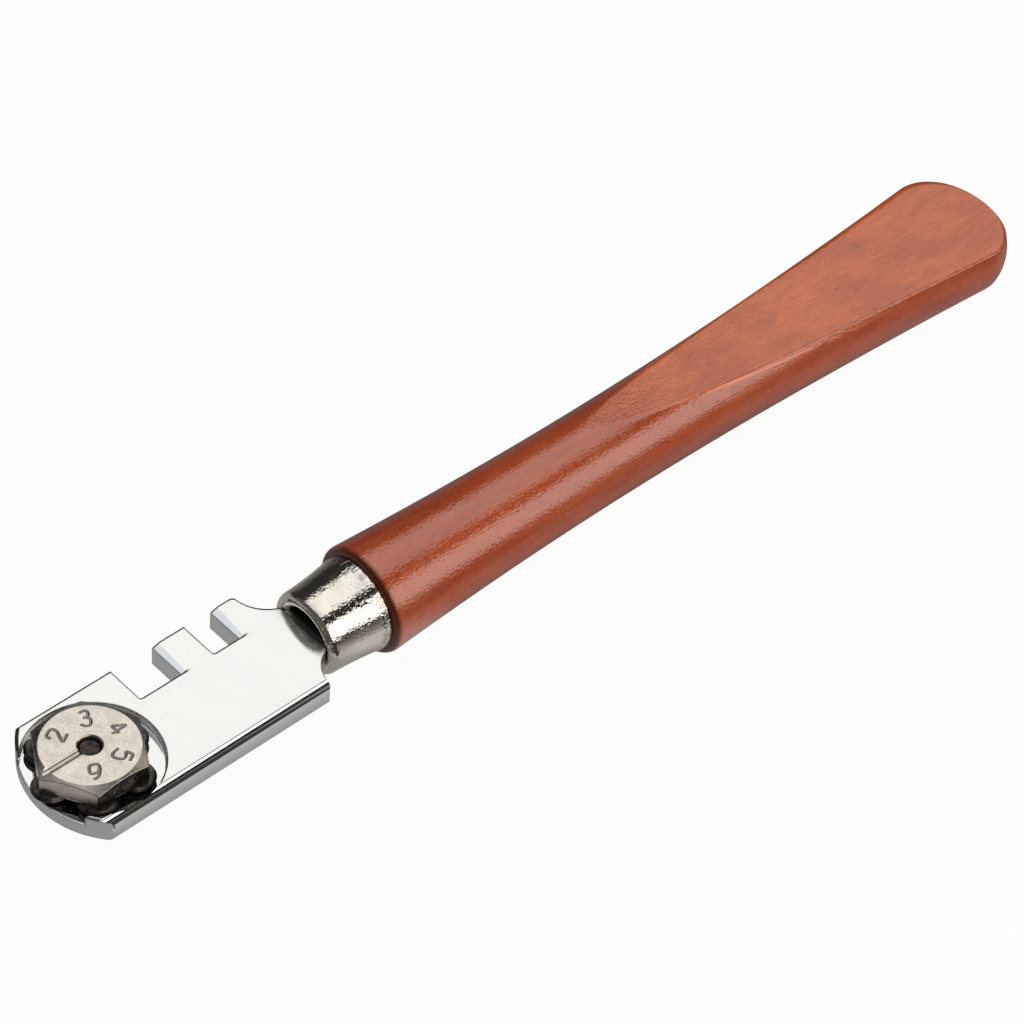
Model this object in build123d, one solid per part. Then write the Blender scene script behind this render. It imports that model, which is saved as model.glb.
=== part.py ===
from build123d import *
from math import atan2, cos, pi, radians, sin, sqrt, tan
import os

# Six-wheel turret glass cutter.  Millimetres; +X runs from the wheel tip to the end of the handle,
# +Z points out of the face that carries the turret, +Y out of the notched edge of the head.
# The origin lies under the middle of the tool, level with its lowest point.

# ---- head plate -------------------------------------------------------------------------------
PLATE_W = 15.2            # width across the two long edges
PLATE_T = 2.6             # thickness
PLATE_EDGE_R = 0.55       # rounding along the plain long edge
TIP_REACH = 6.25          # turret axis to the middle of the curved tip
TIP_R = 10.7              # radius of the curved tip
SHOULDER_X = 24.2         # turret axis to where the long edges end
NECK_W = 6.4              # width of the neck
NECK_STEP = 0.1           # the neck is this much slimmer on every side inside the ferrule
NECK_SHOW = 0.05          # the step stands this far in front of the ferrule
CORNER_R = 0.5            # rounding of the outline's corners

# ---- notches for breaking glass, measured from the turret axis ----------------------------------
NOTCH_DEPTH = 4.65
NOTCH_1_X = 8.6
NOTCH_1_W = 5.2
NOTCH_2_X = 17.85
NOTCH_2_W = 3.4
NOTCH_CORNER_R = 0.25
TOOTH_BEVEL_W = 1.0       # bevel along each tooth's face towards the tip
TOOTH_BEVEL_DROP = 0.3

# ---- pocket that the turret turns in ------------------------------------------------------------
POCKET_R = 7.15
POCKET_OFFSET = 0.3       # the pocket's centre lies this far behind the turret axis
POCKET_DEPTH = 1.1
POCKET_MOUTH_W = 10.6     # width of the pocket's opening in the curved tip

# ---- turret -------------------------------------------------------------------------------------
CAP_FLATS = 10.6          # across the flats
CAP_H = 2.25
CAP_TOP_R = 5.02          # radius of the flat top inside the chamfer
CAP_CHAMFER_ANGLE = 30.0
CAP_LIFT = 0.03           # underside of the cap above the plate's face
HUB_R = 2.3
HOLE_R = 1.2              # central hole
HOLE_COUNTERSINK = 0.15
GROOVE_W = 0.95
GROOVE_DEPTH = 0.35

# ---- wheels and their axles ---------------------------------------------------------------------
WHEELS = 6
WHEEL_R = 2.0
WHEEL_T = 0.8
WHEEL_BEVEL = 0.25        # radial depth of the V edge
PITCH_R = 4.75            # turret axis to wheel axis
AXLE_R = 0.5
AXLE_HEAD_R = 0.85
AXLE_HEAD_T = 0.12
AXLE_GRIP = 1.2           # length pressed into the cap
RUN_GAP = 0.05            # radial running clearance
SIDE_GAP = 0.05           # clearance beside each wheel

# ---- pivot screw and spring washer --------------------------------------------------------------
SCREW_HEAD_R = 2.3
SCREW_HEAD_T = 0.9        # height of the countersunk head
SCREW_SUNK = 0.05         # the head lies this far below the back of the plate
SCREW_SLOT_W = 0.6
SCREW_SLOT_DEPTH = 0.45
SCREW_RECESS = 0.45       # end of the screw below the top of the cap
SCREW_END_BREAK = 0.2
SCREW_SEAT_GAP = 0.06     # radial, around the head
WASHER_R = 2.2
WASHER_T = 0.12
WASHER_DISH = 0.12        # rise of the washer's inner edge

# ---- ferrule ------------------------------------------------------------------------------------
FERRULE_X = 27.0          # turret axis to the ferrule's mouth
FERRULE_L = 7.25
FERRULE_FRONT_R = 4.68
FERRULE_BACK_R = 5.3
FERRULE_WALL = 0.4
FERRULE_SAG = 0.12        # hollow of the flared side
FERRULE_LIP_R = 0.9       # outer radius of the rolled front edge
FERRULE_LIP_DEPTH = 1.6   # front edge to the wood inside

# ---- handle, measured from the back of the ferrule ----------------------------------------------
HANDLE_L = 92.6
SHOULDER_R = 6.1
SHOULDER_BEVEL = 0.7
WAIST_X = 32.6
WAIST_R = 5.24
PADDLE_R = 7.7            # radius of the turned blank at the paddle's corners
END_BOW = 3.2             # how far the middle of the end stands out beyond its corners
END_ROUND_R = 5.3         # rounding of the paddle's corners
FLAT_START_H = 8.3        # height of the flats above the axis at the ferrule, clear of the wood
FLAT_END_H = 2.7          # and at the end of the paddle
FLAT_SAG = 1.3            # how far the middle of the flats lies below a straight line

# ---- tang, driven into the handle ---------------------------------------------------------------
TANG_W = 3.4
TANG_TIP_W = 1.4
TANG_L = 26.0

TOUCH = 0.01              # how near counts as touching, when edges are picked

# ---- derived positions --------------------------------------------------------------------------
WHEEL_REACH = PITCH_R + WHEEL_R
HANDLE_X = FERRULE_X + FERRULE_L
OVERALL_L = WHEEL_REACH + HANDLE_X + HANDLE_L
TURRET_X = WHEEL_REACH - OVERALL_L / 2
AXIS_Z = SHOULDER_R
PLATE_TOP = PLATE_T / 2
POCKET_FLOOR = PLATE_TOP - POCKET_DEPTH
CAP_BOTTOM = PLATE_TOP + CAP_LIFT
CAP_TOP = CAP_BOTTOM + CAP_H
WHEEL_TOP = CAP_BOTTOM - SIDE_GAP
HUB_BOTTOM = POCKET_FLOOR + WASHER_T + WASHER_DISH + SIDE_GAP
SCREW_R = HOLE_R - RUN_GAP
SCREW_BACK = -PLATE_TOP + SCREW_SUNK
SCREW_NECK = SCREW_BACK + SCREW_HEAD_T
WOOD_X = FERRULE_X + FERRULE_LIP_DEPTH
NECK_END_X = FERRULE_X - NECK_SHOW
BORE_R = FERRULE_FRONT_R - FERRULE_WALL - FERRULE_SAG


def prism(outline, bottom, top):
    """The closed outline standing from one height to another."""
    return extrude(Pos(0, 0, bottom) * outline, top - bottom)


def ring_of(profile_edges):
    """Solid of revolution about the tool's own axis."""
    return revolve(make_face(profile_edges), Axis.X, 360)


def turned(points):
    """Solid of revolution about the Z axis, from (radius, height) points."""
    corners = [(r, 0, z) for r, z in points]
    return revolve(make_face(Polyline(*corners, close=True)), Axis.Z, 360)


# ---- head -----------------------------------------------------------------------------------------
def head_outline():
    half_w = PLATE_W / 2
    tip_x = TIP_R - TIP_REACH - sqrt(TIP_R ** 2 - half_w ** 2)
    arc_r = half_w - NECK_W / 2
    neck_x = SHOULDER_X + arc_r
    neck_y = NECK_W / 2
    turn = arc_r * (1 - cos(pi / 4))
    hollow_x = SHOULDER_X + turn
    hollow_y = half_w - arc_r + turn
    end_x = WOOD_X + arc_r    # past the neck's end, which the bar gives
    return make_face([
        ThreePointArc((tip_x, -half_w), (-TIP_REACH, 0), (tip_x, half_w)),
        Line((tip_x, half_w), (SHOULDER_X, half_w)),
        ThreePointArc((SHOULDER_X, half_w), (hollow_x, hollow_y), (neck_x, neck_y)),
        Line((neck_x, neck_y), (end_x, neck_y)),
        Line((end_x, neck_y), (end_x, -neck_y)),
        Line((end_x, -neck_y), (neck_x, -neck_y)),
        ThreePointArc((neck_x, -neck_y), (hollow_x, -hollow_y), (SHOULDER_X, -half_w)),
        Line((SHOULDER_X, -half_w), (tip_x, -half_w)),
    ])


def rolled_bar():
    """The bar that the head is cut from, rounded along its plain edge; it ends at the ferrule."""
    section = Plane.YZ * Rectangle(PLATE_W, PLATE_T)
    section = fillet(section.vertices().group_by(Axis.Y)[0], PLATE_EDGE_R)
    start_x = -2 * TIP_REACH
    return Pos(start_x, 0, 0) * extrude(section, NECK_END_X - start_x, dir=(1, 0, 0))


def breaker_notch(start_x, width):
    """Square notch in the +Y edge, its inner corners slightly rounded."""
    bottom_y = PLATE_W / 2 - NOTCH_DEPTH
    depth = NOTCH_DEPTH + NOTCH_CORNER_R + 1
    centre = Pos(start_x + width / 2, bottom_y + depth / 2)
    return prism(centre * RectangleRounded(width, depth, NOTCH_CORNER_R), -PLATE_T, PLATE_T)


def tooth_bevel(face_x):
    """Wedge cut off the top edge of the tooth whose face towards the tip stands at face_x."""
    rise = 0.5
    slope = TOOTH_BEVEL_W / TOOTH_BEVEL_DROP
    outline = Polyline(
        (face_x - rise, 0, PLATE_TOP - TOOTH_BEVEL_DROP - rise / slope),
        (face_x + TOOTH_BEVEL_W + rise * slope, 0, PLATE_TOP + rise),
        (face_x - rise, 0, PLATE_TOP + rise),
        close=True,
    )
    wedge = extrude(make_face(outline), NOTCH_DEPTH + 1, dir=(0, 1, 0))
    return Pos(0, PLATE_W / 2 - NOTCH_DEPTH, 0) * wedge


def turret_pocket():
    """Round recess for the turret, open through the curved tip."""
    recess = prism(Pos(POCKET_OFFSET, 0) * Circle(POCKET_R), POCKET_FLOOR, PLATE_T)
    mouth_start = POCKET_OFFSET - sqrt(POCKET_R ** 2 - POCKET_MOUTH_W ** 2 / 4)
    mouth_l = 2 * TIP_REACH
    mouth = Rectangle(mouth_l, POCKET_MOUTH_W)
    return recess + prism(Pos(mouth_start - mouth_l / 2, 0) * mouth, POCKET_FLOOR, PLATE_T)


def taper(start_w, end_w):
    """Outline that narrows evenly along the tang."""
    end_x = WOOD_X + TANG_L
    return make_face(Polyline(
        (WOOD_X, -start_w / 2),
        (end_x, -end_w / 2),
        (end_x, end_w / 2),
        (WOOD_X, start_w / 2),
        close=True,
    ))


def tang():
    """Tapered tang that runs from the neck into the wood."""
    from_above = prism(taper(TANG_W, TANG_TIP_W), -PLATE_T, PLATE_T)
    from_the_side = Rot(90, 0, 0) * prism(taper(PLATE_T - 2 * NECK_STEP, TANG_TIP_W), -TANG_W, TANG_W)
    return from_above & from_the_side


def neck_root():
    """Slimmer end of the neck, inside the ferrule's mouth."""
    length = WOOD_X - NECK_END_X
    block = Box(length, NECK_W - 2 * NECK_STEP, PLATE_T - 2 * NECK_STEP)
    return Pos(NECK_END_X + length / 2, 0, 0) * block


def screw_seat():
    """Countersink in the back of the plate."""
    wide = SCREW_HEAD_R + SCREW_SEAT_GAP
    narrow = SCREW_R + SCREW_SEAT_GAP
    return turned([
        (0, -PLATE_T),
        (wide, -PLATE_T),
        (wide, SCREW_BACK),
        (narrow, SCREW_NECK),
        (0, SCREW_NECK),
    ])


def head_plate():
    plate = prism(head_outline(), -PLATE_T / 2, PLATE_TOP)
    half_w = PLATE_W / 2
    uprights = plate.edges().filter_by(Axis.Z)
    plate = fillet(uprights.filter_by(lambda e: abs(abs(e.center().Y) - half_w) < TOUCH), CORNER_R)
    plate &= rolled_bar()
    for start_x, width in ((NOTCH_1_X, NOTCH_1_W), (NOTCH_2_X, NOTCH_2_W)):
        plate -= breaker_notch(start_x, width)
        plate -= tooth_bevel(start_x + width)
    plate -= turret_pocket()
    plate -= prism(Circle(HOLE_R), -PLATE_T, PLATE_T)
    plate -= screw_seat()
    return plate + neck_root() + tang()


# ---- turret -----------------------------------------------------------------------------------------
def wheel_stations():
    """Angle and axis of each wheel; wheel 1 is the one at the tip."""
    for i in range(WHEELS):
        angle = 180 - i * 360 / WHEELS
        yield i + 1, Pos(PITCH_R * cos(radians(angle)), PITCH_R * sin(radians(angle)), 0)


def marking_groove():
    """Round-bottomed groove from the central hole out over the corner of wheel 1."""
    cutter_r = (GROOVE_W ** 2 / 4 + GROOVE_DEPTH ** 2) / (2 * GROOVE_DEPTH)
    rod = Rot(0, -90, 0) * extrude(Circle(cutter_r), CAP_FLATS)
    return Pos(0, 0, CAP_TOP - GROOVE_DEPTH + cutter_r) * rod


def cap_envelope(corner_r):
    """Cylinder with a wide chamfer on top, which trims the hexagon's corners."""
    outer_r = corner_r + 1
    drop = (outer_r - CAP_TOP_R) * tan(radians(CAP_CHAMFER_ANGLE))
    return turned([
        (0, CAP_BOTTOM),
        (outer_r, CAP_BOTTOM),
        (outer_r, CAP_TOP - drop),
        (CAP_TOP_R, CAP_TOP),
        (0, CAP_TOP),
    ])


def hole_rim():
    """Countersink round the central hole."""
    bottom = CAP_TOP - HOLE_COUNTERSINK
    return turned([(0, CAP_TOP), (HOLE_R + HOLE_COUNTERSINK, CAP_TOP), (HOLE_R, bottom), (0, bottom)])


def turret_cap():
    corner_r = CAP_FLATS / sqrt(3)
    cap = prism(RegularPolygon(corner_r, WHEELS), CAP_BOTTOM, CAP_TOP) & cap_envelope(corner_r)
    cap += prism(Circle(HUB_R), HUB_BOTTOM, CAP_BOTTOM)
    cap -= prism(Circle(HOLE_R), HUB_BOTTOM - 1, CAP_TOP + 1)
    cap -= hole_rim()
    cap -= marking_groove()
    for _, station in wheel_stations():
        cap -= station * prism(Circle(AXLE_R), CAP_BOTTOM - 1, CAP_BOTTOM + AXLE_GRIP)
    return cap


def wheel():
    """Scoring wheel with a V edge and a bore that runs on its axle."""
    middle = WHEEL_TOP - WHEEL_T / 2
    bottom = WHEEL_TOP - WHEEL_T
    shoulder = WHEEL_R - WHEEL_BEVEL
    bore = AXLE_R + RUN_GAP
    return turned([
        (bore, bottom),
        (shoulder, bottom),
        (WHEEL_R, middle),
        (shoulder, WHEEL_TOP),
        (bore, WHEEL_TOP),
    ])


def axle():
    """Headed pin, pressed into the cap from below."""
    head_top = WHEEL_TOP - WHEEL_T - SIDE_GAP
    head_bottom = head_top - AXLE_HEAD_T
    top = CAP_BOTTOM + AXLE_GRIP
    return turned([
        (0, head_bottom),
        (AXLE_HEAD_R, head_bottom),
        (AXLE_HEAD_R, head_top),
        (AXLE_R, head_top),
        (AXLE_R, top),
        (0, top),
    ])


def pivot_screw():
    """Countersunk screw from the back of the plate, slotted, its end seen in the turret's hole."""
    top = CAP_TOP - SCREW_RECESS
    body = turned([
        (0, SCREW_BACK),
        (SCREW_HEAD_R, SCREW_BACK),
        (SCREW_R, SCREW_NECK),
        (SCREW_R, top - SCREW_END_BREAK),
        (SCREW_R - SCREW_END_BREAK, top),
        (0, top),
    ])
    slot = Box(3 * SCREW_HEAD_R, SCREW_SLOT_W, SCREW_SLOT_DEPTH)
    return body - Pos(0, 0, SCREW_BACK + SCREW_SLOT_DEPTH / 2) * slot


def spring_washer():
    """Dished washer: its outer edge stands on the pocket's floor, its inner edge meets the hub."""
    dished = POCKET_FLOOR + WASHER_DISH
    return turned([
        (WASHER_R, POCKET_FLOOR),
        (WASHER_R, POCKET_FLOOR + WASHER_T),
        (HOLE_R, dished + WASHER_T),
        (HOLE_R, dished),
    ])


# ---- ferrule and handle -----------------------------------------------------------------------------
def ferrule():
    """Flared sleeve with a rolled front edge that closes in round the neck."""
    lip_x = FERRULE_X + FERRULE_LIP_R
    mouth_r = FERRULE_FRONT_R - FERRULE_LIP_R
    turn = FERRULE_LIP_R * (1 - cos(pi / 4))
    lip = ThreePointArc(
        (FERRULE_X, mouth_r),
        (FERRULE_X + turn, FERRULE_FRONT_R - turn),
        (lip_x, FERRULE_FRONT_R),
    )
    side = ThreePointArc(
        (lip_x, FERRULE_FRONT_R),
        ((lip_x + HANDLE_X) / 2, (FERRULE_FRONT_R + FERRULE_BACK_R) / 2 - FERRULE_SAG),
        (HANDLE_X, FERRULE_BACK_R),
    )
    step_x = FERRULE_X + FERRULE_WALL
    return ring_of([
        lip,
        side,
        Line(side @ 1, (HANDLE_X, BORE_R)),
        Line((HANDLE_X, BORE_R), (step_x, BORE_R)),
        Line((step_x, BORE_R), (step_x, mouth_r)),
        Line((step_x, mouth_r), lip @ 0),
    ])


def tenon():
    """Stub of the handle that fills the ferrule behind its mouth."""
    return Pos(WOOD_X, 0, 0) * Rot(0, 90, 0) * extrude(Circle(BORE_R), HANDLE_X - WOOD_X)


def handle_end():
    """Bowed end of the profile, from the paddle's corner to the axis."""
    bow_r = (PADDLE_R ** 2 + END_BOW ** 2) / (2 * END_BOW)
    end_x = HANDLE_X + HANDLE_L
    half = atan2(PADDLE_R, bow_r - END_BOW) / 2
    middle = (end_x - bow_r * (1 - cos(half)), bow_r * sin(half))
    return ThreePointArc((end_x - END_BOW, PADDLE_R), middle, (end_x, 0))


def grip():
    """Turned body of the handle: shoulder, slender waist, swelling paddle and rounded end."""
    shoulder = (HANDLE_X + SHOULDER_BEVEL, SHOULDER_R)
    rim = (HANDLE_X, SHOULDER_R - SHOULDER_BEVEL)
    waist = (HANDLE_X + WAIST_X, WAIST_R)
    end = handle_end()
    face = make_face([
        Line((HANDLE_X, 0), rim),
        Line(rim, shoulder),
        TangentArc(waist, shoulder, tangent=(-1, 0)),
        TangentArc(waist, end @ 0, tangent=(1, 0)),
        end,
        Line(end @ 1, (HANDLE_X, 0)),
    ])
    corner = face.vertices().sort_by_distance(end @ 0)[0]
    return revolve(fillet(corner, END_ROUND_R), Axis.X, 360)


def flat_cutter():
    """Block above the paddle's upper flat, which is slightly hollow along its length."""
    end_x = HANDLE_X + HANDLE_L
    far_x = end_x + PADDLE_R
    top = 3 * PADDLE_R
    middle_h = (FLAT_START_H + FLAT_END_H) / 2 - FLAT_SAG
    edges = [
        ThreePointArc((HANDLE_X, FLAT_START_H), ((HANDLE_X + end_x) / 2, middle_h), (end_x, FLAT_END_H)),
        Line((end_x, FLAT_END_H), (far_x, FLAT_END_H)),
        Line((far_x, FLAT_END_H), (far_x, top)),
        Line((far_x, top), (HANDLE_X, top)),
        Line((HANDLE_X, top), (HANDLE_X, FLAT_START_H)),
    ]
    return extrude(Rot(90, 0, 0) * make_face(edges), 2 * PADDLE_R, both=True)


def handle():
    upper = flat_cutter()
    return tenon() + grip() - upper - Rot(180, 0, 0) * upper - tang()


# ---- assembly ---------------------------------------------------------------------------------------
def assembly():
    place = Pos(TURRET_X, 0, AXIS_Z)
    parts = {
        "head_plate": head_plate(),
        "ferrule": ferrule(),
        "handle": handle(),
        "turret_cap": turret_cap(),
        "pivot_screw": pivot_screw(),
        "spring_washer": spring_washer(),
    }
    for number, station in wheel_stations():
        parts[f"wheel_{number}"] = station * wheel()
        parts[f"axle_{number}"] = station * axle()
    return {name: place * shape for name, shape in parts.items()}


os.makedirs("parts", exist_ok=True)
for name, shape in assembly().items():
    export_step(shape, f"parts/{name}.step")
print(f"overall length {OVERALL_L:.1f} mm")
print(f"turret axis at x = {TURRET_X:.2f} mm, tool axis at z = {AXIS_Z:.2f} mm")
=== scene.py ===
from math import acos, atan2, cos, degrees, pi, radians, sin, sqrt, tan

import bmesh
import bpy
from mathutils import Matrix, Vector


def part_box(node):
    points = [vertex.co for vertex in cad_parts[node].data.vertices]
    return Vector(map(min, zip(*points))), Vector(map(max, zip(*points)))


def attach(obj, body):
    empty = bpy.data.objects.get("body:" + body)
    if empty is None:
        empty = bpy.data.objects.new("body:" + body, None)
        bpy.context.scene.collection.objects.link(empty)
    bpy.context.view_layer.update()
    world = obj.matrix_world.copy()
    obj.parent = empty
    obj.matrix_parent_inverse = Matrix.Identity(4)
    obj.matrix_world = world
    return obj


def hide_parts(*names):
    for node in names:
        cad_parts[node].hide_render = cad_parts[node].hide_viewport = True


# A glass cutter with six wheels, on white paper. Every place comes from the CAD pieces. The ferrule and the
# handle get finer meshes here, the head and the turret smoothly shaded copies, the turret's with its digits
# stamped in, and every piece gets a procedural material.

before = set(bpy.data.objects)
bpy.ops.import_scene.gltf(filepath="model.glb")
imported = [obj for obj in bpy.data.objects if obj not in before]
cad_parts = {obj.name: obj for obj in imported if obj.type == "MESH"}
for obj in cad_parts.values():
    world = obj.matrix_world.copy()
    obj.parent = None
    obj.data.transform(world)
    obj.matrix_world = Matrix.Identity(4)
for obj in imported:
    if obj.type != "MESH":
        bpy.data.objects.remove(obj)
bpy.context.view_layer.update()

MM = 0.001

# ---- places read from the frame, in metres -----------------------------------------------------
PLATE_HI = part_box("head_plate")[1]
CAP_LO, CAP_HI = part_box("turret_cap")
FERRULE_LO, FERRULE_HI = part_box("ferrule")
HANDLE_LO, HANDLE_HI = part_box("handle")
CAP_CENTRE = (CAP_LO + CAP_HI) / 2
AXIS_Z = (FERRULE_LO.z + FERRULE_HI.z) / 2
FLOOR_Z = HANDLE_LO.z

# ---- sizes of the tool, in millimetres ----------------------------------------------------------
CAP_X = CAP_CENTRE.x / MM
CAP_TOP = CAP_HI.z / MM
CAP_FACE_R = 4.8          # the flat top inside the chamfer

PLATE_TOP = PLATE_HI.z / MM
PLATE_HALF_W = PLATE_HI.y / MM
TIP_R = 10.7
TIP_CENTRE_X = CAP_X + 4.45
POCKET_R = 7.15
POCKET_X = CAP_X + 0.3    # the pocket's centre lies a little behind the turret's axis
POCKET_DEPTH = 1.1

FERRULE_X = FERRULE_LO.x / MM
FERRULE_END_X = FERRULE_HI.x / MM
FERRULE_L = 7.25
FERRULE_FRONT_R, FERRULE_BACK_R = 4.68, 5.3
FERRULE_SAG = 0.108       # how far the flare hangs below a straight cone
FERRULE_WALL = 0.4
BACK_ROUND = 0.16         # rounding of the back edge
MOUTH_R = 3.05            # the lip is pressed in around the neck
LIP_R = 0.85
ROLL_R = 0.75             # the edge rolled in at the mouth
COLLAR_L = 0.95           # the crimped band at the back

HANDLE_L = 92.6
HANDLE_X = HANDLE_HI.x / MM - HANDLE_L
HANDLE_Z = AXIS_Z / MM
SHOULDER_R = 6.1
SHOULDER_X = 0.7          # the side starts here
SHOULDER_ROUND = 0.8
WAIST_X, WAIST_R = 32.6, 5.24
PADDLE_R = 7.7
END_BOW = 3.2
END_ROUND_R = 5.3
FLAT_START_H, FLAT_END_H, FLAT_SAG = 8.3, 2.7, 1.3
FLAT_EASE, END_EASE = 0.14, 0.9   # rounding of the flats' edges, which grows from EASE_X to the end
EASE_X = 60.0
TENON_R, TENON_L = 4.1, 5.65


# ---- node trees ---------------------------------------------------------------------------------
class Tree:
    """Short calls for building a material's nodes."""

    def __init__(self, tree):
        self.tree = tree
        tree.nodes.clear()

    def node(self, kind, **settings):
        made = self.tree.nodes.new(kind)
        for name, value in settings.items():
            setattr(made, name, value)
        return made

    def put(self, socket, value):
        """Sets an input to a number or colour, or links it to another node's output."""
        if isinstance(value, bpy.types.NodeSocket):
            self.tree.links.new(value, socket)
        else:
            socket.default_value = value

    def math(self, operation, a, b=0.0):
        made = self.node("ShaderNodeMath", operation=operation)
        self.put(made.inputs[0], a)
        self.put(made.inputs[1], b)
        return made.outputs[0]

    def times(self, *factors):
        product = factors[0]
        for factor in factors[1:]:
            product = self.math("MULTIPLY", product, factor)
        return product

    def plus(self, a, b):
        return self.math("ADD", a, b)

    def minus(self, a, b):
        return self.math("SUBTRACT", a, b)

    def above(self, value, limit):
        """1 where the value is greater than the limit, and 0 elsewhere."""
        return self.math("GREATER_THAN", value, limit)

    def below(self, value, limit):
        """1 where the value is less than the limit, and 0 elsewhere."""
        return self.math("LESS_THAN", value, limit)

    def mix(self, factor, a, b):
        """Colour or normal a, turning into b as the factor goes from 0 to 1."""
        made = self.node("ShaderNodeMix", data_type="RGBA")
        self.put(made.inputs["Factor"], factor)
        self.put(made.inputs[6], a)
        self.put(made.inputs[7], b)
        return made.outputs[2]

    def tint(self, colour, mask, strength, other):
        """The colour, carried that far towards another one where the mask is 1."""
        return self.mix(self.times(mask, strength), colour, other)

    def vector(self, x, y, z):
        made = self.node("ShaderNodeCombineXYZ")
        for socket, value in zip(made.inputs, (x, y, z)):
            self.put(socket, value)
        return made.outputs[0]

    def steps(self, value, low, high, to_low=0.0, to_high=1.0):
        """Value carried smoothly from one range to another, and held at the ends."""
        made = self.node("ShaderNodeMapRange", interpolation_type="SMOOTHSTEP")
        for name, number in (("Value", value), ("From Min", low), ("From Max", high),
                             ("To Min", to_low), ("To Max", to_high)):
            self.put(made.inputs[name], number)
        return made.outputs["Result"]

    def place(self, scale=(1, 1, 1)):
        """Object coordinates in millimetres, stretched by scale."""
        source = self.node("ShaderNodeTexCoord").outputs["Object"]
        made = self.node("ShaderNodeMapping")
        self.put(made.inputs["Vector"], source)
        made.inputs["Scale"].default_value = [s / MM for s in scale]
        return made.outputs["Vector"]

    def noise(self, vector, scale, detail=2.0, rough=0.5, warp=0.0):
        made = self.node("ShaderNodeTexNoise")
        for name, value in (("Vector", vector), ("Scale", scale), ("Detail", detail),
                            ("Roughness", rough), ("Distortion", warp)):
            self.put(made.inputs[name], value)
        return made.outputs["Fac"]

    def bump(self, height, distance, strength=1.0, normal=None):
        """Relief of that real height, in millimetres."""
        made = self.node("ShaderNodeBump")
        self.put(made.inputs["Height"], height)
        made.inputs["Distance"].default_value = distance * MM
        made.inputs["Strength"].default_value = strength
        if normal is not None:
            self.put(made.inputs["Normal"], normal)
        return made.outputs["Normal"]

    def along(self, axis):
        """Object coordinate along X, Y or Z, in millimetres."""
        made = self.node("ShaderNodeSeparateXYZ")
        self.put(made.inputs[0], self.place())
        return made.outputs[axis]

    def near_axis(self, centre_x, radius):
        """1 within that many millimetres of an upright axis at y = 0."""
        across = self.minus(self.along(0), centre_x)
        deep = self.along(1)
        squares = self.plus(self.times(across, across), self.times(deep, deep))
        return self.below(squares, radius ** 2)

    def facing(self):
        """X, Y and Z of the surface's own normal."""
        made = self.node("ShaderNodeSeparateXYZ")
        self.put(made.inputs[0], self.node("ShaderNodeNewGeometry").outputs["True Normal"])
        return made.outputs

    def upright(self):
        """1 on walls and 0 on level faces."""
        return self.steps(self.math("ABSOLUTE", self.facing()[2]), 0.75, 0.55)

    def rounded(self, radius):
        """Normal of an edge eased to that radius, in millimetres."""
        made = self.node("ShaderNodeBevel", samples=8)
        made.inputs["Radius"].default_value = radius * MM
        return made.outputs["Normal"]

    def plain(self, kind, colour):
        """A simple shader of that kind and colour."""
        made = self.node(kind)
        self.put(made.inputs["Color"], colour)
        return made.outputs[0]

    def for_rays(self, kind, other, shader):
        """One shader for that kind of ray, and another one for all the others."""
        return self.blend(self.node("ShaderNodeLightPath").outputs[kind], other, shader)

    def blend(self, factor, a, b):
        """Shader a, turning into b as the factor goes from 0 to 1."""
        made = self.node("ShaderNodeMixShader")
        for socket, value in zip(made.inputs, (factor, a, b)):
            self.put(socket, value)
        return made.outputs[0]

    def show(self, shader, kind="ShaderNodeOutputMaterial"):
        self.put(self.node(kind).inputs["Surface"], shader)

    def shader(self, **inputs):
        """Shows a principled shader with these inputs."""
        made = self.node("ShaderNodeBsdfPrincipled")
        for name, value in inputs.items():
            self.put(made.inputs[name.replace("_", " ")], value)
        self.show(made.outputs[0])


def material(name):
    """A new material, and the calls for building its nodes."""
    made = bpy.data.materials.new(name)
    made.use_nodes = True
    return made, Tree(made.node_tree)


def linear(share):
    """Linear value of an sRGB one."""
    return ((share + 0.055) / 1.055) ** 2.4 if share > 0.04045 else share / 12.92


def grey(value):
    return (value, value, value, 1)


def rgb(r, g, b):
    """Linear colour of an sRGB one, given from 0 to 255."""
    return (*[linear(c / 255) for c in (r, g, b)], 1)


# ---- materials ----------------------------------------------------------------------------------
CROWN_IN = 1.1            # mm from the long edge to where the buffed rounding starts
# Each part of the rounding: where it starts and ends, in mm of run, and how far it turns, in radians.
CROWN = ((0.0, 0.1, 0.47), (0.1, 0.2, 0.19), (0.2, 0.5, 0.35), (0.5, 1.65, 0.56))
TIP_CROWN_IN = 0.4
TIP_CROWN = ((0.0, 0.08, 0.5), (0.08, 0.18, 0.75))
LEVEL = 0.9               # Z of the normal, above which a face counts as level
POCKET_MARGIN = 0.286     # mm past the pocket's radius that still count as its wall
SANDED_FROM, SANDED_TO = 30, 46   # mm from the shoulder, between which the flats turn bare


def crown_turn(t, run, parts):
    """How far a buffed rounding has turned the surface after that run."""
    turn = 0.0
    for start, end, added in parts:
        turn = t.plus(turn, t.steps(run, start, end, 0.0, added))
    return turn


def buffed_tip(t, normal):
    """The top's edge is rounded over along the curved tip."""
    across, deep = t.minus(t.along(0), TIP_CENTRE_X), t.along(1)
    reach = t.math("SQRT", t.plus(t.times(across, across), t.times(deep, deep)))
    run = t.minus(reach, TIP_R - TIP_CROWN_IN)
    turn = crown_turn(t, run, TIP_CROWN)
    slope = t.math("DIVIDE", t.math("SINE", turn), reach)
    rounded = t.vector(t.times(across, slope), t.times(deep, slope), t.math("COSINE", turn))
    on_tip = t.times(t.above(run, 0.0), t.below(across, 0.0))
    on_top = t.times(t.above(t.facing()[2], LEVEL), t.above(t.along(2), PLATE_TOP - 0.1))
    return t.mix(t.times(on_tip, on_top), normal, rounded)


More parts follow.
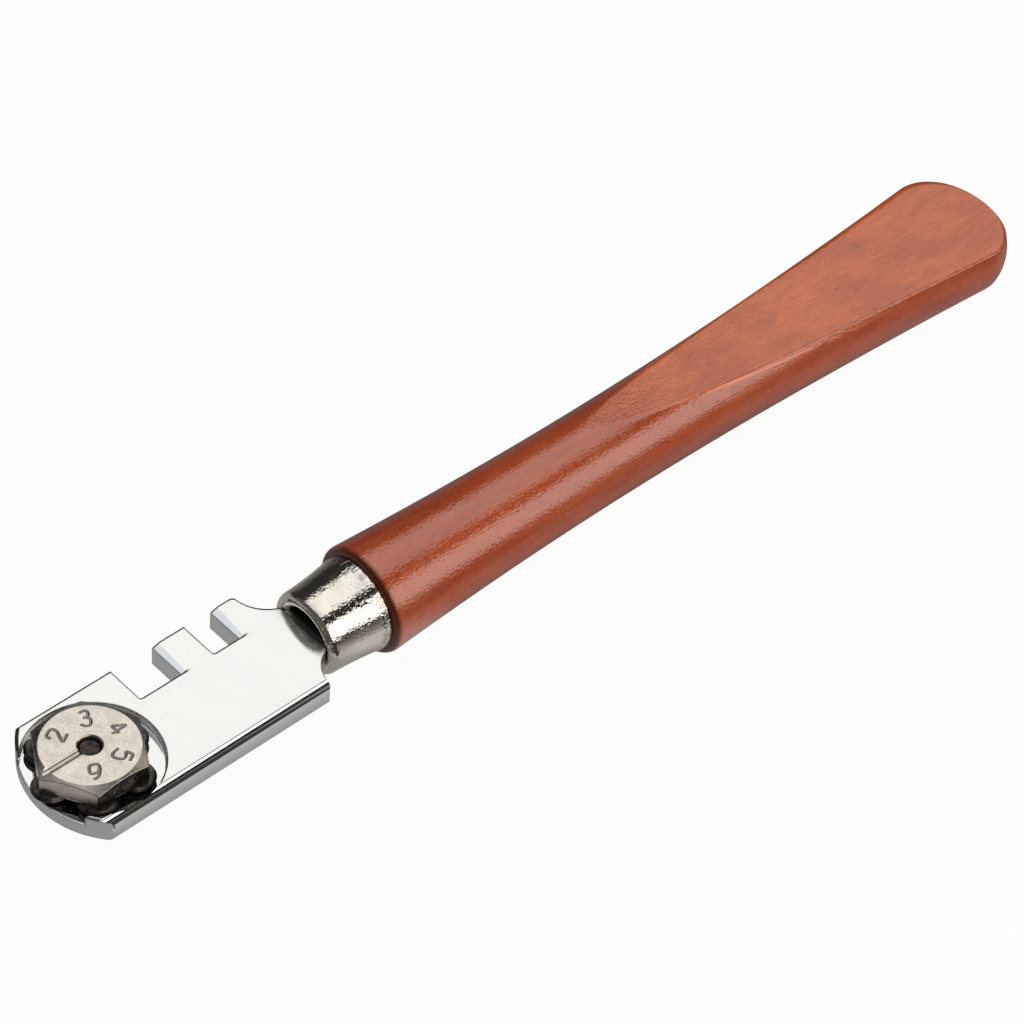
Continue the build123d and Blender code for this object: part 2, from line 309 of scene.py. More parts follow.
def buffed_edge(t, normal):
    """The plain long edge is buffed to a soft, uneven rounding that is wider than the plate's own."""
    nx, ny, nz = t.facing()
    inboard = t.minus(t.times(t.along(1), -1.0), PLATE_HALF_W - CROWN_IN)
    run = t.plus(inboard, t.minus(PLATE_TOP, t.along(2)))
    turn = crown_turn(t, run, CROWN)
    rounded = t.vector(0.0, t.times(t.math("SINE", turn), -1.0), t.math("COSINE", turn))
    along_edge = t.times(t.above(inboard, 0.0), t.below(t.math("ABSOLUTE", nx), 0.3), t.below(ny, 0.05),
                         t.above(nz, -0.05))
    pocket_floor = t.times(t.above(nz, LEVEL), t.below(t.along(2), PLATE_TOP - POCKET_DEPTH / 2))
    return t.mix(t.times(along_edge, t.minus(1.0, pocket_floor)), normal, rounded)


def polished_chrome():
    """Plated and polished; the pocket's machined wall is duller and, as painted shade, greyer; where it
    enters the ferrule it is painted dark, as the shadow and dark reflection of the ferrule's mouth, partly
    sooty.
    """
    made, t = material("polished_chrome")
    at = t.place()
    cloud = t.noise(at, 0.35, 3)
    speck = t.steps(t.noise(at, 5.5, 1), 0.70, 0.74)
    normal = buffed_edge(t, buffed_tip(t, t.rounded(0.32)))
    normal = t.bump(t.noise(at, 0.9, 2), 0.0010, normal=normal)

    pocket = t.times(t.upright(), t.near_axis(POCKET_X, POCKET_R + POCKET_MARGIN))
    # The pocket's wall: its colour is greyed below, partly for its duller machined finish, partly as painted
    # shade and dark reflection.
    wall = t.times(pocket, t.above(t.along(2), PLATE_TOP - POCKET_DEPTH + 0.05))
    neck = t.steps(t.along(0), FERRULE_X - 2.6, FERRULE_X - 0.4)
    # Painted shadow and dark reflection of the ferrule's mouth on the neck, partly sooty, with a ragged edge.
    mouth_shadow_x = t.plus(t.along(0), t.times(t.noise(at, 1.6, 3), 1.2))
    mouth_shadow_and_soot = t.steps(mouth_shadow_x, FERRULE_X - 0.3, FERRULE_X + 1.4)

    colour = t.mix(t.steps(cloud, 0.35, 0.7), rgb(236, 235, 232), rgb(233, 233, 231))
    colour = t.tint(colour, speck, 0.25, rgb(120, 116, 112))
    # Greyer pocket wall: partly its machined finish, partly painted shade and dark reflection.
    colour = t.tint(colour, wall, 0.3, rgb(118, 119, 122))
    # Painted shadow and dark reflection at the ferrule's mouth, partly sooty; the same mask also roughens the
    # plate.
    colour = t.tint(colour, mouth_shadow_and_soot, 0.92, rgb(38, 34, 30))
    rough = t.steps(cloud, 0.3, 0.75, 0.03, 0.045)
    for mask, added in ((speck, 0.15), (pocket, 0.38), (neck, 0.16), (mouth_shadow_and_soot, 0.25)):
        rough = t.plus(rough, t.times(mask, added))
    t.shader(Base_Color=colour, Metallic=1.0, Roughness=rough, Normal=normal)
    return made


def satin_nickel():
    """Warm satin plate with small pits; painted shade darkens the sides towards the wheels, the chamfer and
    one whole side, which is almost black.
    """
    made, t = material("satin_nickel")
    at = t.place()
    grain = t.noise(at, 3.5, 2, 0.5)
    cloud = t.noise(at, 0.6, 3)
    pits = t.steps(t.noise(at, 3.2, 2), 0.66, 0.74)
    nz = t.facing()[2]
    z = t.along(2)

    # Painted shade: the upright sides darken towards their bottom, by the wheels.
    below = t.steps(z, CAP_TOP - 0.6, CAP_TOP - 2.2)
    # Painted shade and dark reflection: the upright side that faces -Y.
    dark_side_shade = t.times(t.upright(), t.below(t.along(1), CAP_LO.y / MM + 0.12))
    # The chamfer, which is darkened as painted shade and dark reflection.
    chamfer = t.times(t.above(nz, 0.75), t.below(nz, 0.95))
    sunk = t.times(t.steps(z, CAP_TOP - 0.01, CAP_TOP - 0.06), t.near_axis(CAP_X, CAP_FACE_R))
    stain = t.steps(z, CAP_TOP - 0.075, CAP_TOP - 0.092, 0.62, 0.3)   # lighter in the deepest grooves

    colour = t.mix(t.steps(cloud, 0.3, 0.7), rgb(240, 231, 218), rgb(224, 214, 200))
    colour = t.tint(colour, pits, 0.35, rgb(120, 110, 98))
    # Painted shade on the upright sides, deepest at their bottom.
    colour = t.tint(colour, t.upright(), t.plus(t.times(below, 0.42), 0.02), rgb(80, 72, 63))
    # Painted shade and dark reflection make the -Y side almost black, patchy with the cloud.
    colour = t.tint(colour, dark_side_shade, t.steps(cloud, 0.66, 0.5, 0.6, 0.95), rgb(52, 45, 38))
    # Painted shade and dark reflection on the chamfer.
    colour = t.tint(colour, chamfer, 0.45, rgb(86, 74, 62))
    colour = t.tint(colour, sunk, stain, rgb(92, 76, 60))

    height = t.minus(grain, t.times(pits, 1.2))
    height = t.times(height, t.steps(nz, 0.6, 0.9, 0.15, 1.0))
    normal = t.bump(height, 0.0016, normal=t.rounded(0.15))
    rough = t.steps(grain, 0.3, 0.7, 0.22, 0.34)
    t.shader(Base_Color=colour, Metallic=1.0, Roughness=rough, Normal=normal)
    return made


def nickel_plate():
    """Thin plate over spun brass: rippled, grainy, with short crimp marks along the back edge."""
    made, t = material("nickel_plate")
    ripple = t.noise(t.place((0.5, 1.0, 1.0)), 1.1, 2, 0.5, 0.4)
    grain = t.noise(t.place(), 3.8, 1, 0.5)
    cloud = t.noise(t.place(), 0.5, 2)
    collar_x = FERRULE_END_X - COLLAR_L
    collar = t.steps(t.along(0), collar_x - 0.3, collar_x)
    crimp = t.times(collar, t.steps(t.noise(t.place((0.5, 2.6, 2.6)), 1.0, 1), 0.5, 0.58))

    height = t.plus(t.times(ripple, 1.2), t.times(grain, 0.85))
    height = t.minus(height, t.times(crimp, 0.6))
    normal = t.bump(height, 0.040, normal=t.rounded(0.06))
    colour = t.mix(t.steps(cloud, 0.3, 0.7), rgb(240, 232, 218), rgb(226, 217, 202))
    colour = t.tint(colour, crimp, 0.35, rgb(130, 112, 84))
    rough = t.steps(cloud, 0.3, 0.7, 0.06, 0.12)
    t.shader(Base_Color=colour, Metallic=1.0, Roughness=rough, Normal=normal)
    return made


def bare_steel(name, colour, stain, rough, relief):
    """Dark ground or blackened steel, with a fine mottled stain."""
    made, t = material(name)
    grain = t.noise(t.place(), 6.0, 3, 0.6)
    cloud = t.noise(t.place(), 1.4, 3)
    mixed = t.mix(t.steps(cloud, 0.35, 0.7), colour, stain)
    rough = t.steps(grain, 0.3, 0.7, rough, rough + 0.18)
    normal = t.bump(grain, relief, normal=t.rounded(0.04))
    t.shader(Base_Color=mixed, Metallic=1.0, Roughness=rough, Normal=normal)
    return made


def edge_of_flat(t):
    """1 in a thin line under the edges of the handle's flats, which fades out towards the paddle."""
    share = t.math("DIVIDE", t.minus(t.along(0), HANDLE_X), HANDLE_L)
    level = t.steps(share, 0.0, 1.0, FLAT_START_H, FLAT_END_H)
    sag = t.times(t.times(share, t.minus(1.0, share)), 4.0 * FLAT_SAG)
    height = t.math("ABSOLUTE", t.minus(t.along(2), HANDLE_Z))
    below = t.minus(t.minus(level, sag), height)
    line = t.times(t.steps(below, 0.03, 0.07), t.steps(below, 0.34, 0.2))
    line = t.times(line, t.steps(share, 0.66, 0.82, 1.0, 0.0))
    return t.times(line, t.below(t.math("ABSOLUTE", t.facing()[2]), 0.95))


def wood_relief(t, fleck, fibre, flat):
    """Height of the pores, the fibres and the varnish's orange peel, weaker on the flats."""
    peel = t.noise(t.place((0.6, 1.0, 1.0)), 4.0, 1, 0.5)
    relief = t.plus(t.times(fleck, 0.5), t.times(fibre, 0.4))
    relief = t.plus(relief, t.times(peel, 1.3))
    return t.times(relief, t.minus(1.0, t.times(flat, 0.7)))


def varnished_wood():
    """Red-brown varnish over a fine, short-pored wood; painted dark, as painted shade, where it sits in the
    ferrule.
    """
    made, t = material("varnished_wood")
    band = t.noise(t.place((0.035, 0.45, 0.45)), 1.0, 3, 0.55, 0.3)
    fleck = t.noise(t.place((1.3, 4.5, 4.5)), 1.0, 2, 0.6)
    fibre = t.noise(t.place((0.25, 9.0, 9.0)), 1.0, 3, 0.6)
    mottle = t.noise(t.place((0.22, 0.5, 0.5)), 1.0, 2)
    patch = t.noise(t.place((0.12, 0.22, 0.22)), 1.0, 3)
    wear = t.noise(t.place((0.5, 0.7, 0.7)), 1.0, 3)

    x = t.along(0)
    flat = t.steps(t.facing()[2], 0.96, 0.985)
    flat = t.times(flat, t.steps(x, HANDLE_X + SANDED_FROM, HANDLE_X + SANDED_TO))
    worn = t.times(edge_of_flat(t), t.steps(wear, 0.30, 0.46))
    ring = t.steps(x, HANDLE_X + 0.8, HANDLE_X + 0.15)
    # Painted shade: the wood inside the ferrule is made nearly black.
    inside = t.steps(x, HANDLE_X - 0.1, HANDLE_X - 0.3)

    # The upward flat's colour: the lighter bare-wood tone of the sanding, together with painted sheen from
    # the overhead lamp.
    sanded_and_sheen = t.mix(t.steps(patch, 0.38, 0.62), rgb(177, 76, 31), rgb(200, 93, 37))
    colour = t.mix(t.steps(band, 0.32, 0.68), rgb(170, 68, 31), rgb(150, 54, 25))
    colour = t.tint(colour, t.steps(mottle, 0.42, 0.66), 0.4, rgb(170, 82, 42))
    # Upper flat: bare-wood tone with painted sheen.
    colour = t.tint(colour, flat, 0.8, sanded_and_sheen)
    colour = t.tint(colour, t.steps(fibre, 0.42, 0.7), 0.36, rgb(112, 40, 24))
    colour = t.tint(colour, t.steps(fleck, 0.58, 0.68), 0.5, rgb(104, 40, 24))
    colour = t.tint(colour, worn, 0.8, rgb(208, 98, 44))
    colour = t.tint(colour, ring, 0.94, rgb(48, 13, 13))
    # Painted shade inside the ferrule.
    colour = t.mix(inside, colour, rgb(24, 18, 15))

    normal = t.bump(wood_relief(t, fleck, fibre, flat), 0.025)
    rough = t.steps(mottle, 0.35, 0.7, 0.26, 0.34)
    dull = t.times(flat, t.steps(fibre, 0.35, 0.65, 0.2, 0.44))
    coat = t.times(t.minus(1.0, t.times(ring, 0.75)), 0.9)
    coat = t.times(coat, t.minus(1.0, dull))
    t.shader(Base_Color=colour, Roughness=rough, Normal=normal, IOR=1.6, Specular_Tint=(1.0, 0.5, 0.2, 1),
             Coat_Weight=coat, Coat_Roughness=0.045, Coat_IOR=1.85, Coat_Normal=normal)
    return made


# ---- pieces -------------------------------------------------------------------------------------
CAD_SHARP_DEG = 28        # edges that turn by more stay sharp, on copies of CAD nodes
SKIN_SHARP_DEG = 50       # the same on the handle and the ferrule
STAMP_SHARP_DEG = 20      # and on the stamped turret
WELD_MM = 0.0005


def linked(name, data):
    """A new object in the scene."""
    made = bpy.data.objects.new(name, data)
    bpy.context.scene.collection.objects.link(made)
    return made


def smooth(mesh, sharp_deg):
    """Welds a mesh and shades it smooth, apart from the edges that turn by more than sharp_deg."""
    work = bmesh.new()
    work.from_mesh(mesh)
    bmesh.ops.remove_doubles(work, verts=work.verts, dist=WELD_MM * MM)
    bmesh.ops.recalc_face_normals(work, faces=work.faces)
    for face in work.faces:
        face.smooth = True
    for edge in work.edges:
        edge.smooth = len(edge.link_faces) == 2 and edge.calc_face_angle(pi) < radians(sharp_deg)
    work.to_mesh(mesh)
    work.free()


def even_shading(piece):
    """Large flat faces keep their own normal, so that the shading of small ones doesn't spill over them."""
    weighted = piece.modifiers.new("even", "WEIGHTED_NORMAL")
    weighted.mode = "FACE_AREA"
    weighted.weight = 100
    weighted.keep_sharp = True


def stand_for(node, name, mesh, body, made):
    """A piece of that mesh and material, which stands for a CAD node and rides on its body."""
    mesh.materials.clear()
    mesh.materials.append(made)
    piece = linked(name, mesh)
    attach(piece, body)
    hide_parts(node)
    return piece


def copy_of(node, name, body, made):
    """A smoothly shaded copy of a CAD node."""
    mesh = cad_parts[node].data.copy()
    smooth(mesh, CAD_SHARP_DEG)
    piece = stand_for(node, name, mesh, body, made)
    even_shading(piece)
    return piece


def new_piece(node, name, points, faces, body, made):
    """A smooth piece made of its own points, in millimetres."""
    mesh = bpy.data.meshes.new(name)
    mesh.from_pydata([Vector(p) * MM for p in points], [], faces)
    mesh.validate()
    smooth(mesh, SKIN_SHARP_DEG)
    stand_for(node, name, mesh, body, made)


def dress(node, made):
    """Gives a CAD node its material."""
    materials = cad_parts[node].data.materials
    materials.clear()
    materials.append(made)


def arc(centre, radius, from_deg, to_deg, count):
    """(station, radius) along an arc, whose angles run from +X towards a larger radius."""
    for i in range(count + 1):
        a = radians(from_deg + (to_deg - from_deg) * i / count)
        yield centre[0] + radius * cos(a), centre[1] + radius * sin(a)


def spaced(start, end, count):
    """Evenly spaced values from start, without the end itself."""
    return [start + (end - start) * i / count for i in range(count)]


def rings(stations, section):
    """Points and faces of a skin through one ring per station; section gives a station's ring."""
    points, faces, before = [], [], None
    for station in stations:
        ring = section(*station)
        here = [len(points) + k for k in range(len(ring))]
        points.extend(ring)
        if before is not None:
            faces.extend(zip(before, before[1:] + before[:1], here[1:] + here[:1], here))
        before = here
    return points, faces


# ---- handle ---------------------------------------------------------------------------------------
SIDE_STATIONS = 180
CORNER_SPREAD = 0.10      # radians at each side of a flat's edge that get points of their own
FLAT_STEPS, CORNER_STEPS, SIDE_STEPS = 14, 12, 16


def bend_radius(run, rise):
    """Radius of an arc that starts level and has risen by that much after that run."""
    return (run ** 2 + rise ** 2) / (2 * rise)


FRONT_BEND = bend_radius(WAIST_X - SHOULDER_X, SHOULDER_R - WAIST_R)
PADDLE_BEND = bend_radius(HANDLE_L - END_BOW - WAIST_X, PADDLE_R - WAIST_R)
END_BEND = bend_radius(PADDLE_R, END_BOW)


def side_radius(x):
    """Radius of the turned handle: two arcs that meet, level, at the waist."""
    bend = FRONT_BEND if x < WAIST_X else PADDLE_BEND
    return WAIST_R + bend - sqrt(bend ** 2 - (x - WAIST_X) ** 2)


def crossing(centre_a, radius_a, centre_b, radius_b):
    """The point on both circles that lies farther along X."""
    a, b = Vector(centre_a), Vector(centre_b)
    apart = (b - a).length
    along = (radius_a ** 2 - radius_b ** 2 + apart ** 2) / (2 * apart)
    aside = sqrt(radius_a ** 2 - along ** 2)
    ahead = (b - a).normalized()
    middle = a + ahead * along
    return max(middle + ahead.orthogonal() * aside, middle - ahead.orthogonal() * aside, key=lambda p: p.x)


def handle_profile():
    """(station, radius) from the front of the tenon to the middle of the rounded end."""
    shoulder = side_radius(SHOULDER_ROUND) - SHOULDER_ROUND
    yield -TENON_L, 0.01
    yield -TENON_L, TENON_R
    yield 0, TENON_R
    yield from arc((SHOULDER_ROUND, shoulder), SHOULDER_ROUND, 180, 92, 8)
    side_centre = (WAIST_X, WAIST_R + PADDLE_BEND)
    end_centre = (HANDLE_L - END_BEND, 0)
    centre = crossing(side_centre, PADDLE_BEND + END_ROUND_R, end_centre, END_BEND - END_ROUND_R)
    from_deg = degrees(atan2(side_centre[1] - centre.y, side_centre[0] - centre.x))
    to_deg = degrees(atan2(centre.y, centre.x - end_centre[0]))
    first = SHOULDER_ROUND + 0.25
    last = centre.x + END_ROUND_R * cos(radians(from_deg)) - 0.35
    for i in range(SIDE_STATIONS):
        station = first + (last - first) * i / (SIDE_STATIONS - 1)
        yield station, side_radius(station)
    yield from arc(centre, END_ROUND_R, from_deg, to_deg, 26)
    yield from arc(end_centre, END_BEND, to_deg - 2, 0.05, 16)


def flat_height(x):
    """Height of the flats over the axis: they come closer together, with a sag, towards the end."""
    along = x / HANDLE_L
    straight = FLAT_START_H + (FLAT_END_H - FLAT_START_H) * along
    return straight - 4 * FLAT_SAG * along * (1 - along)


def handle_ring(x, radius):
    """One ring of the handle: a circle cut by the two flats, its corners eased."""
    height = flat_height(x)
    corner = acos(min(height / radius, cos(CORNER_SPREAD)))
    spread = min(CORNER_SPREAD, corner / 2)
    angles = spaced(0, corner - spread, FLAT_STEPS)
    angles += spaced(corner - spread, corner + spread, CORNER_STEPS)
    angles += spaced(corner + spread, pi / 2, SIDE_STEPS)
    growth = max(0, (x - EASE_X) / (HANDLE_L - EASE_X))
    ease = (FLAT_EASE + (END_EASE - FLAT_EASE) * growth) * min(1, radius / SHOULDER_R)
    quarter = []
    for angle in angles:
        flat = height / cos(angle)
        gap = max(ease - abs(radius - flat), 0) / ease
        quarter.append((angle, min(radius, flat) - gap * gap * ease / 4))
    half = quarter + [(pi / 2, radius)] + [(pi - a, r) for a, r in reversed(quarter)]
    ring = [(a, r) for a, r in half] + [(2 * pi - a, r) for a, r in reversed(half[1:-1])]
    return [(HANDLE_X + x, r * sin(a), HANDLE_Z + r * cos(a)) for a, r in ring]


def make_handle(made):
    points, faces = rings(handle_profile(), handle_ring)
    new_piece("handle", "grip", points, faces, "tool_body", made)


# ---- ferrule --------------------------------------------------------------------------------------
LATHE_STEPS = 144
FLARE_STATIONS = 26
COLLAR_STEP = ((0.07, 0.10), (0.14, 0.05), (0.45, 0.02))   # mm past the collar's start, mm under its radius


def ferrule_profile():
    """(station, radius) from inside the mouth, round the rolled lip, along the flare and back inside."""
    yield 3.0, FERRULE_FRONT_R - FERRULE_WALL
    yield 1.6, MOUTH_R + 0.4
    yield from arc((ROLL_R, MOUTH_R + ROLL_R), ROLL_R, 300, 184, 12)
    yield from arc((LIP_R, FERRULE_FRONT_R - LIP_R), LIP_R, 178, 92, 12)
    back = FERRULE_L - BACK_ROUND
    collar = FERRULE_L - COLLAR_L
    for i in range(1, FLARE_STATIONS + 1):
        along = i / FLARE_STATIONS * (collar - LIP_R) / (back - LIP_R)
        straight = FERRULE_FRONT_R + (FERRULE_BACK_R - FERRULE_FRONT_R) * along
        yield LIP_R + (back - LIP_R) * along, straight - 4 * FERRULE_SAG * along * (1 - along)
    for past, under in COLLAR_STEP:
        yield collar + past, FERRULE_BACK_R - under
    yield from arc((back, FERRULE_BACK_R - BACK_ROUND), BACK_ROUND, 80, 0, 5)
    yield FERRULE_L, FERRULE_BACK_R - FERRULE_WALL


def lathe_ring(x, radius):
    """One round ring of the ferrule."""
    turns = spaced(0, 2 * pi, LATHE_STEPS)
    return [(FERRULE_X + x, radius * sin(turn), HANDLE_Z + radius * cos(turn)) for turn in turns]


def make_ferrule(made):
    points, faces = rings(ferrule_profile(), lathe_ring)
    new_piece("ferrule", "sleeve", points, faces, "tool_body", made)


# ---- stamped digits on the turret -----------------------------------------------------------------
DIGIT_H = 1.75            # height of a digit
DIGIT_RING_R = 3.4        # turret axis to the middle of a digit
DIGIT_WIDTHS = {3: 0.8, 6: 0.8}   # share of the full width, where a digit is narrower
DIGIT_MIDDLE = (0.33, 0.5)
STROKE_R = 0.19           # radius of the stamping tool's edge
STROKE_DEPTH = 0.10
CURVED, STRAIGHT = "NURBS", "POLY"
# Strokes in a box one unit high: their kind, and then their control points.
DIGITS = {
    2: ((CURVED, (0.00, 0.72), (0.02, 1.02), (0.33, 1.04), (0.66, 1.00), (0.66, 0.62), (0.34, 0.38),
         (0.00, 0.00)),
        (STRAIGHT, (0.00, 0.00), (0.64, 0.00))),
    3: ((CURVED, (0.00, 0.92), (0.16, 1.04), (0.62, 1.06), (0.62, 0.54), (0.24, 0.56)),
        (CURVED, (0.24, 0.56), (0.74, 0.58), (0.70, -0.06), (0.16, -0.06), (0.00, 0.12))),
    4: ((STRAIGHT, (0.46, 0.00), (0.46, 1.00)),
        (STRAIGHT, (0.46, 1.00), (0.00, 0.32)),
        (STRAIGHT, (0.00, 0.32), (0.68, 0.32))),
    5: ((STRAIGHT, (0.60, 1.00), (0.12, 1.00)),
        (STRAIGHT, (0.12, 1.00), (0.06, 0.54)),
        (CURVED, (0.06, 0.54), (0.32, 0.70), (0.70, 0.62), (0.70, -0.04), (0.26, -0.06), (0.00, 0.10))),
    6: ((CURVED, (0.52, 1.00), (0.14, 0.90), (-0.06, 0.34), (0.02, -0.06), (0.34, -0.04), (0.70, -0.02),
         (0.70, 0.62), (0.34, 0.60), (0.10, 0.52), (0.03, 0.30)),),
}


def digit_place(digit, u, v):
    """Place of a point in a digit's box, in millimetres; the digits stand around the turret's axis."""
    angle = pi - (digit - 1) * pi / 3
    out = Vector((cos(angle), sin(angle), 0))
    across = Vector((sin(angle), -cos(angle), 0))
    width = DIGIT_H * DIGIT_WIDTHS.get(digit, 1.0)
    level = CAP_TOP + STROKE_R - STROKE_DEPTH
    middle = Vector((CAP_X, CAP_CENTRE.y / MM, level))
    up = DIGIT_RING_R + (v - DIGIT_MIDDLE[1]) * DIGIT_H
    return middle + out * up + across * (u - DIGIT_MIDDLE[0]) * width


def stamp_strokes():
    """Curve with a round section along every stroke of the digits."""
    curve = bpy.data.curves.new("strokes", "CURVE")
    curve.dimensions = "3D"
    curve.bevel_depth = STROKE_R * MM
    curve.bevel_resolution = 2
    curve.resolution_u = 5
    curve.use_fill_caps = True
    for digit, strokes in DIGITS.items():
        for kind, *control in strokes:
            spline = curve.splines.new(kind)
            spline.points.add(len(control) - 1)
            for point, (u, v) in zip(spline.points, control):
                point.co = (*digit_place(digit, u, v) * MM, 1)
            if kind == CURVED:
                spline.order_u = 3
                spline.use_endpoint_u = True
    return curve


def stamp(piece):
    """Cuts the digits into the turret's top."""
    piece.modifiers.clear()
    source = linked("strokes", stamp_strokes())
    bpy.context.view_layer.update()
    tool = linked("stamps", bpy.data.meshes.new_from_object(source))
    cut = piece.modifiers.new("stamp", "BOOLEAN")
    cut.operation = "DIFFERENCE"
    cut.solver = "EXACT"
    cut.use_self = True
    cut.object = tool
    bpy.context.view_layer.update()
    done = bpy.data.meshes.new_from_object(piece.evaluated_get(bpy.context.evaluated_depsgraph_get()))
    piece.modifiers.clear()
    smooth(done, STAMP_SHARP_DEG)
    piece.data = done
    even_shading(piece)
    for spent in (source, tool):
        bpy.data.objects.remove(spent)


# ---- studio -------------------------------------------------------------------------------------
STRIP_REACH = 0.70        # tool to the middle of each lamp
STRIP_L = 1.6
STRIP_X = 0.35
STRIP_ENDS = (STRIP_X - STRIP_L / 2, STRIP_X + STRIP_L / 2)
CARD_GAP = 0.02           # between the lamps' distance and the cards'
COOL_END_X = 0.12         # the cool card covers the overhead lamp up to here, for the head
GRIP_START_X = 0.40       # the low card in front is dark before this and bright after it

# Where each lamp or card starts and ends, in degrees from straight above towards -Y.
OVERHEAD = (-40, 20)
FRONT = (42, 82)
GAP = (OVERHEAD[1], FRONT[0])
LOW_FRONT = (FRONT[1], 90)
LOW_GRIP = (FRONT[1], 86.5)
BACK = (-100, -42)


def around_tool(span, reach, x):
    """Matrix of a panel that faces the tool from the middle of that span of degrees."""
    angle = radians(sum(span) / 2)
    place = Vector((x, -reach * sin(angle), AXIS_Z + reach * cos(angle)))
    return Matrix.Translation(place) @ Matrix.Rotation(angle, 4, "X")


def width_over(span, reach):
    """Width of a panel that covers that span of degrees at that distance."""
    return 2 * reach * tan(radians((span[1] - span[0]) / 2))


def softbox(name, span, radiance):
    """A lamp panel that faces the tool."""
    lamp = bpy.data.lights.new(name, "AREA")
    lamp.shape = "RECTANGLE"
    lamp.size = STRIP_L
    lamp.size_y = width_over(span, STRIP_REACH)
    lamp.energy = radiance * pi * lamp.size * lamp.size_y
    linked(name, lamp).matrix_world = around_tool(span, STRIP_REACH, STRIP_X)


def rectangle(name, length, width, z=0.0):
    """A level mesh of one face, about the origin."""
    half_l, half_w = length / 2, width / 2
    corners = [(-half_l, -half_w, z), (half_l, -half_w, z), (half_l, half_w, z), (-half_l, half_w, z)]
    mesh = bpy.data.meshes.new(name)
    mesh.from_pydata(corners, [], [(0, 1, 2, 3)])
    return mesh


def card(name, span, reach, colour, ends=STRIP_ENDS):
    """A card around the tool, from one X to another, that only reflections show."""
    mesh = rectangle(name, ends[1] - ends[0], width_over(span, reach))
    made = linked(name, mesh)
    made.matrix_world = around_tool(span, reach, sum(ends) / 2)
    made.visible_camera = False
    made.visible_diffuse = False
    made.visible_shadow = False
    skin, t = material(name)
    t.show(t.plain("ShaderNodeEmission", colour))
    mesh.materials.append(skin)


BAND_GREY = 0.54          # the floor's brightest grey, in the middle of its bands


def floor_band(t, y, outer, inner, outer_grey, inner_share):
    """A bright band along the tool, which fades over the outer and over the inner run of y."""
    rise = t.steps(y, *outer, outer_grey, BAND_GREY)
    return t.times(rise, t.steps(y, *inner, 1.0, inner_share))


def floor_in_metal(t):
    """Grey of the floor as metal shows it, in one band beside the head and a wider one beside the grip."""
    x, y = t.along(0), t.along(1)
    by_head = floor_band(t, y, (-14.5, -13.0), (-12.6, -10.6), 0.045, 0.62)
    by_grip = floor_band(t, y, (-22.0, -15.0), (-9.5, -3.0), 0.26, 0.5)
    grip = t.steps(x, FERRULE_X + 3, FERRULE_X + 6)
    bright = t.plus(by_head, t.times(grip, t.minus(by_grip, by_head)))
    return t.times(bright, t.steps(x, FERRULE_X + 12, FERRULE_X + 20, 1.0, 0.45))


FLOOR_SIZE = 6.0
PAPER = 0.85              # what the floor reflects
FLOOR_GLOW = 0.955        # how far the camera sees it as plain white


def studio_floor():
    """White paper with the tool's soft shadow; metal sees it as a card in greys."""
    mesh = rectangle("floor", FLOOR_SIZE, FLOOR_SIZE, FLOOR_Z)
    made = linked("floor", mesh)
    skin, t = material("floor")
    paper = t.plain("ShaderNodeBsdfDiffuse", grey(PAPER))
    seen = t.blend(FLOOR_GLOW, paper, t.plain("ShaderNodeEmission", grey(1.0)))
    in_metal = t.plain("ShaderNodeEmission", floor_in_metal(t))
    t.show(t.for_rays("Is Glossy Ray", t.for_rays("Is Camera Ray", paper, seen), in_metal))
    mesh.materials.append(skin)


WORLD_FILL = 0.42         # light from all around
WORLD_IN_METAL = 0.10     # and what metal sees of it


def studio_world():
    """Soft light from all around, which the camera sees as white and metal as dark grey."""
    world = bpy.data.worlds.new("studio")
    world.use_nodes = True
    bpy.context.scene.world = world
    t = Tree(world.node_tree)
    fill = t.plain("ShaderNodeBackground", grey(WORLD_FILL))
    in_metal = t.plain("ShaderNodeBackground", grey(WORLD_IN_METAL))
    seen = t.plain("ShaderNodeBackground", grey(1.0))
    lighting = t.for_rays("Is Glossy Ray", fill, in_metal)
    t.show(t.for_rays("Is Camera Ray", lighting, seen), "ShaderNodeOutputWorld")


# ---- camera -------------------------------------------------------------------------------------
CAMERA_AZIMUTH = 46.58    # degrees: the way the camera looks, from +Y towards +X
CAMERA_DOWN = 46.255
CAMERA_ROLL = 5.47
CAMERA_FOCAL = 4000.0     # in pixels of the photograph
FRAME_PX = 1024
SENSOR_MM = 36.0
TURRET_IN_VIEW = Vector((-40.653, 24.728, 385.357))   # mm right of, below and in front of the camera


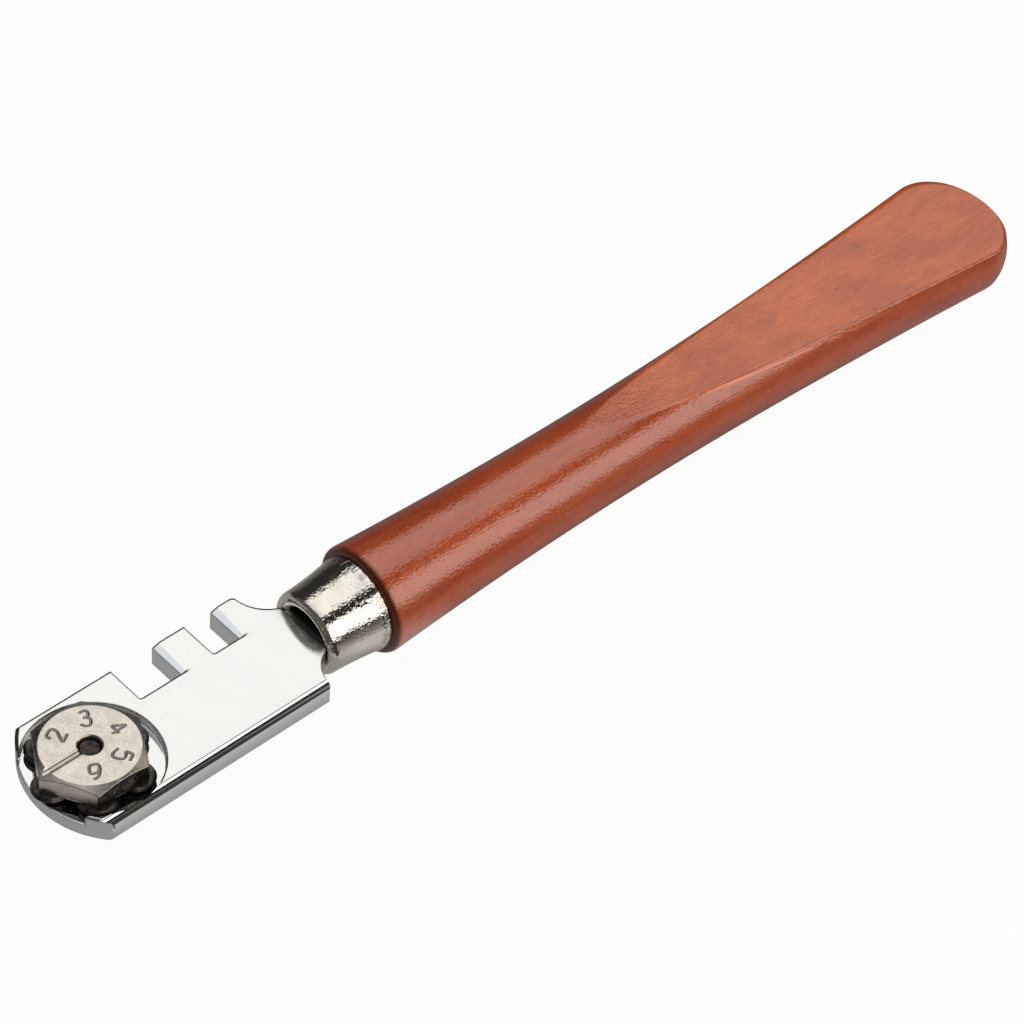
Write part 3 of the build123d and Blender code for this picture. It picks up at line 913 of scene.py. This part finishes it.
def studio_camera():
    """A pinhole camera fitted to the photograph."""
    turn, down, roll = radians(CAMERA_AZIMUTH), radians(CAMERA_DOWN), radians(CAMERA_ROLL)
    level = Vector((cos(turn), -sin(turn), 0))
    ahead = Vector((sin(turn) * cos(down), cos(turn) * cos(down), -sin(down)))
    up = level.cross(ahead)
    right = cos(roll) * level + sin(roll) * up
    below = sin(roll) * level - cos(roll) * up
    away = TURRET_IN_VIEW
    turret = Vector((CAP_CENTRE.x, CAP_CENTRE.y, AXIS_Z))
    place = turret - MM * (away.x * right + away.y * below + away.z * ahead)
    lens = bpy.data.cameras.new("camera")
    lens.sensor_width = SENSOR_MM
    lens.lens = CAMERA_FOCAL / FRAME_PX * SENSOR_MM
    lens.clip_start = 0.01
    axes = Matrix((right, -below, -ahead)).transposed()
    made = linked("camera", lens)
    made.matrix_world = Matrix.Translation(place) @ axes.to_4x4()
    bpy.context.scene.camera = made


# ---- the tool -----------------------------------------------------------------------------------
WHEEL_STEEL = bare_steel("tool_steel", rgb(96, 90, 86), rgb(58, 54, 52), 0.24, 0.002)
DARK_STEEL = bare_steel("dark_steel", rgb(92, 88, 84), rgb(52, 48, 46), 0.38, 0.006)
SPRING_STEEL = bare_steel("spring_steel", rgb(120, 116, 110), rgb(84, 78, 72), 0.25, 0.002)
STEELS = {"wheel_": WHEEL_STEEL, "axle_": DARK_STEEL, "pivot_screw": DARK_STEEL,
          "spring_washer": SPRING_STEEL}

for node_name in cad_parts:
    for prefix, steel in STEELS.items():
        if node_name.startswith(prefix):
            dress(node_name, steel)

copy_of("head_plate", "head", "tool_body", polished_chrome())
stamp(copy_of("turret_cap", "turret_top", "turret", satin_nickel()))
make_ferrule(nickel_plate())
make_handle(varnished_wood())

studio_world()
studio_floor()
softbox("overhead", OVERHEAD, 1.0)
softbox("front_strip", FRONT, 1.5)
card("cool_card", OVERHEAD, STRIP_REACH - CARD_GAP, (0.84, 0.88, 0.94, 1), (STRIP_ENDS[0], COOL_END_X))
card("gap_card", GAP, STRIP_REACH + CARD_GAP, grey(0.02))
card("front_card", LOW_FRONT, STRIP_REACH + CARD_GAP, grey(0.02), (STRIP_ENDS[0], GRIP_START_X))
card("grip_card", LOW_GRIP, STRIP_REACH + CARD_GAP, grey(1.4), (GRIP_START_X, STRIP_ENDS[1]))
card("back_card", BACK, STRIP_REACH + 2.5 * CARD_GAP, grey(0.03))
studio_camera()

view = bpy.context.scene.view_settings
view.view_transform = "Standard"
